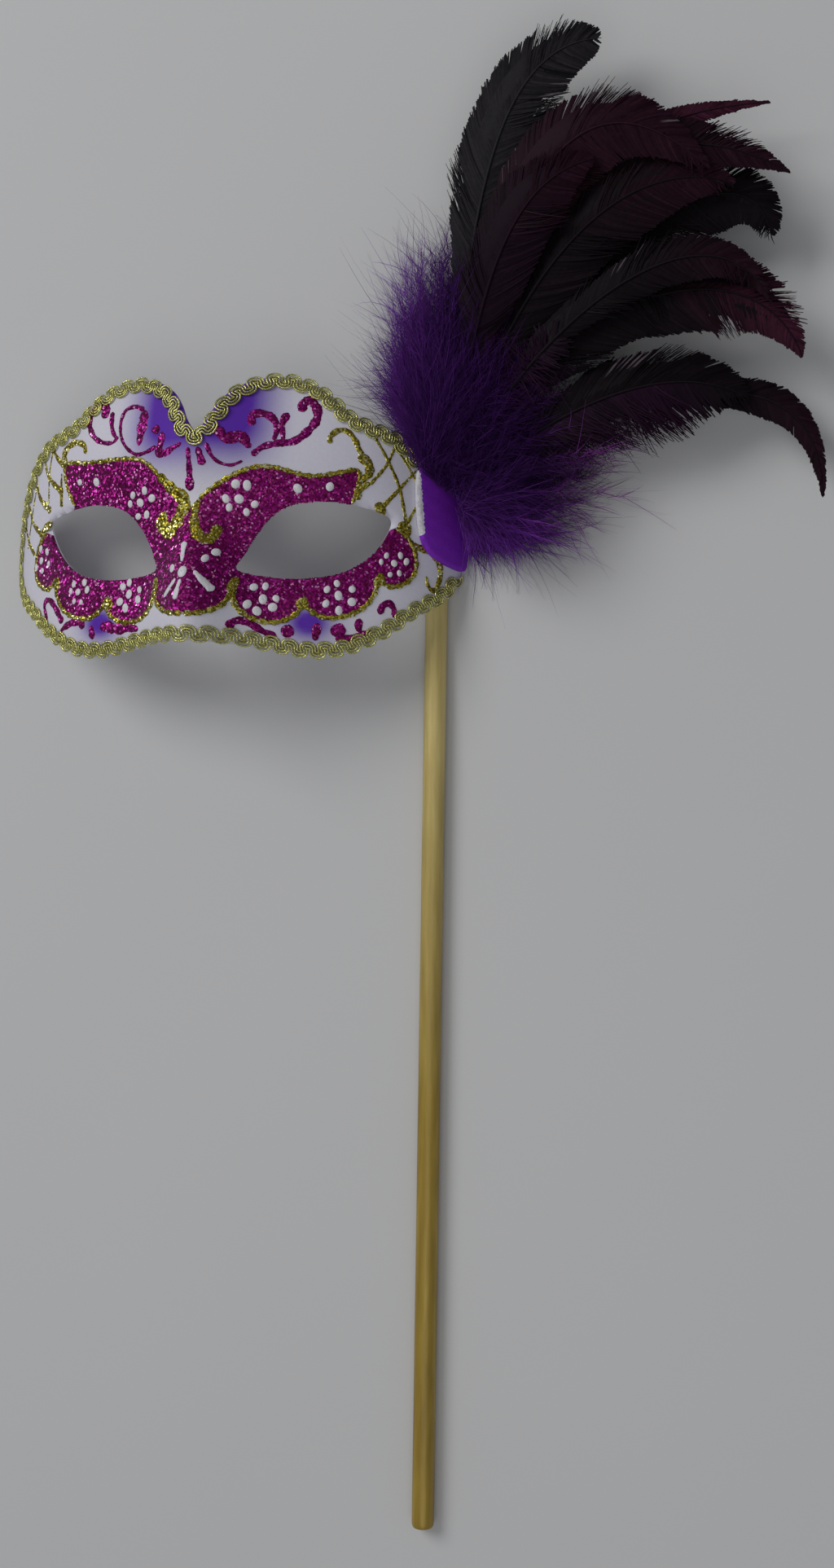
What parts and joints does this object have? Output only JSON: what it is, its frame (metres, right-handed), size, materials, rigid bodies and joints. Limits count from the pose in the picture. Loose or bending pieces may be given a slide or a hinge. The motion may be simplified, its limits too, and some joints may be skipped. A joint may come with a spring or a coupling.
{
  "type": "masquerade stick mask",
  "caption": "Venetian style half mask on a gold stick, with a gold braid rim, glitter paint and a purple and black feather plume at one temple.",
  "frame": {"origin": "middle of the underside of the whole object as it lies on its back", "axes": "+X to the right across the face seen from the front, +Y up the face along the stick, +Z out of the face"},
  "size_m": [0.2998, 0.5286, 0.0621],
  "materials": {
    "shell": "white satin paint with glitter ornament",
    "braid": "metallic gold cord",
    "felt": "matt purple felt",
    "gold_wood": "gold paint",
    "down": "soft purple down",
    "cock_feather": "glossy dark plum to black feather"
  },
  "bodies": {
    "root": {"mask_shell": "shell", "gold_braid": "braid", "feather_pad": "felt", "stick": "gold_wood", "marabou": "down", "coque_fan": "cock_feather"}
  },
  "joints": []
}
